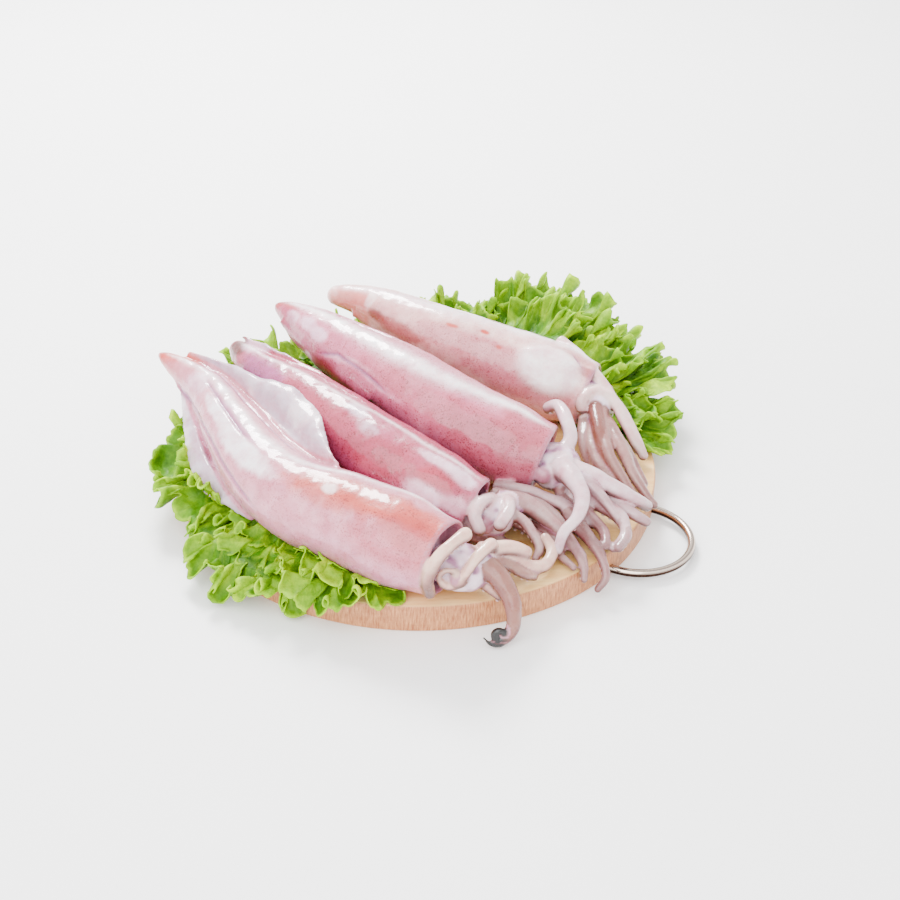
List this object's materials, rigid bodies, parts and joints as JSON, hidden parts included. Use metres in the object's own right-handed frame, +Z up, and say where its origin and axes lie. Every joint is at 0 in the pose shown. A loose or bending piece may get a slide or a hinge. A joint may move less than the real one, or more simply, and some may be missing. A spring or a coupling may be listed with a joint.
{
  "type": "whole raw squid platter",
  "caption": "Whole raw squid with fins, heads and curling arms laid side by side on frilly lettuce, on a thick round wooden serving board with a bent wire handle.",
  "frame": {"origin": "Centre of the board's flat underside, where it stands on a table.", "axes": "+Z is up. The squid's heads and the wire handle point towards +X and -Y, and -Y faces the viewer of the picture."},
  "size_m": [0.3476, 0.3467, 0.0917],
  "materials": {
    "board_wood": "pale close-grained wood, oiled, satin",
    "handle_steel": "polished bent wire",
    "squid_1_skin": "wet raw squid skin with fine speckles",
    "squid_2_skin": "wet raw squid skin with fine speckles",
    "squid_3_skin": "wet raw squid skin with fine speckles",
    "squid_4_skin": "wet raw squid skin with fine speckles",
    "lettuce": "fresh frilly lettuce, slightly waxy"
  },
  "bodies": {
    "root": {"board": "board_wood", "handle": "handle_steel", "squid_1": "squid_1_skin", "squid_2": "squid_2_skin", "squid_3": "squid_3_skin", "squid_4": "squid_4_skin", "lettuce_bed": "lettuce", "leaf_1": "lettuce", "leaf_2": "lettuce", "leaf_3": "lettuce", "leaf_4": "lettuce", "leaf_5": "lettuce", "leaf_6": "lettuce", "leaf_7": "lettuce", "leaf_8": "lettuce", "leaf_9": "lettuce"}
  },
  "joints": []
}
